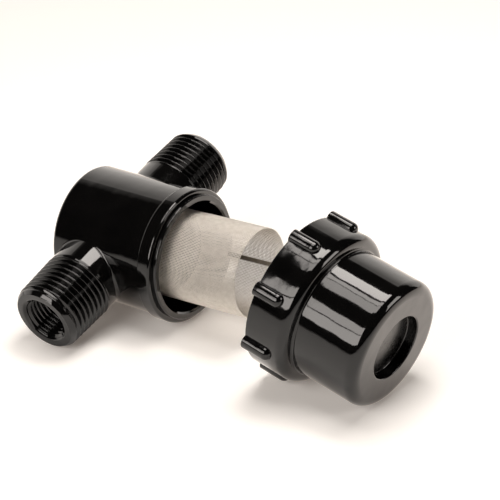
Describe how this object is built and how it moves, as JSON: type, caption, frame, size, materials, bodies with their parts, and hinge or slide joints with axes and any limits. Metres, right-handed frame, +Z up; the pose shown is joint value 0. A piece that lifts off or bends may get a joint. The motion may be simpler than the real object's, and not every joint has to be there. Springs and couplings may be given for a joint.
{
  "type": "inline water strainer",
  "caption": "Small moulded inline strainer, opened for cleaning: barrel with two threaded pipe ports, wire mesh screen tube part-way out, lugged screw cap lying beside it.",
  "frame": {"origin": "on the bench, under the middle of the whole group as it lies open", "axes": "+X along the barrel's main axis towards the cap, seen from above; +Y towards the outlet port; +Z up"},
  "size_m": [0.1134, 0.0802, 0.0468],
  "materials": {
    "body_plastic": "glossy black moulded plastic",
    "cap_plastic": "glossy black moulded plastic",
    "screen_wire": "fine woven stainless wire cloth",
    "gasket_rubber": "plain black rubber"
  },
  "bodies": {
    "body": {"strainer_body": "body_plastic"},
    "screen": {"mesh_screen": "screen_wire"},
    "seal": {"cap_gasket": "gasket_rubber"},
    "cap": {"screw_cap": "cap_plastic"}
  },
  "joints": [
    {"name": "thread_travel", "type": "slide", "parent": "body", "child": "screen", "axis": [0.9995, 0, 0.0317], "range_m": [-0.009, 0]},
    {"name": "cap_lift", "type": "hinge", "parent": "screen", "child": "seal", "pos_m": [0.01128, -0.0544, -0.14093], "axis": [-0.1615, -0.9436, 0.2891], "range_deg": [0, 13.21]},
    {"name": "cap_turn", "type": "hinge", "parent": "seal", "child": "cap", "pos_m": [0.02044, -0.0054, 0.02409], "axis": [0.9805, -0.0634, -0.1858], "range_deg": [-540, 0]}
  ],
  "couplings": [
    {"joint": "cap_turn", "follows": "thread_travel", "rad_per_m": 1047.2}
  ]
}
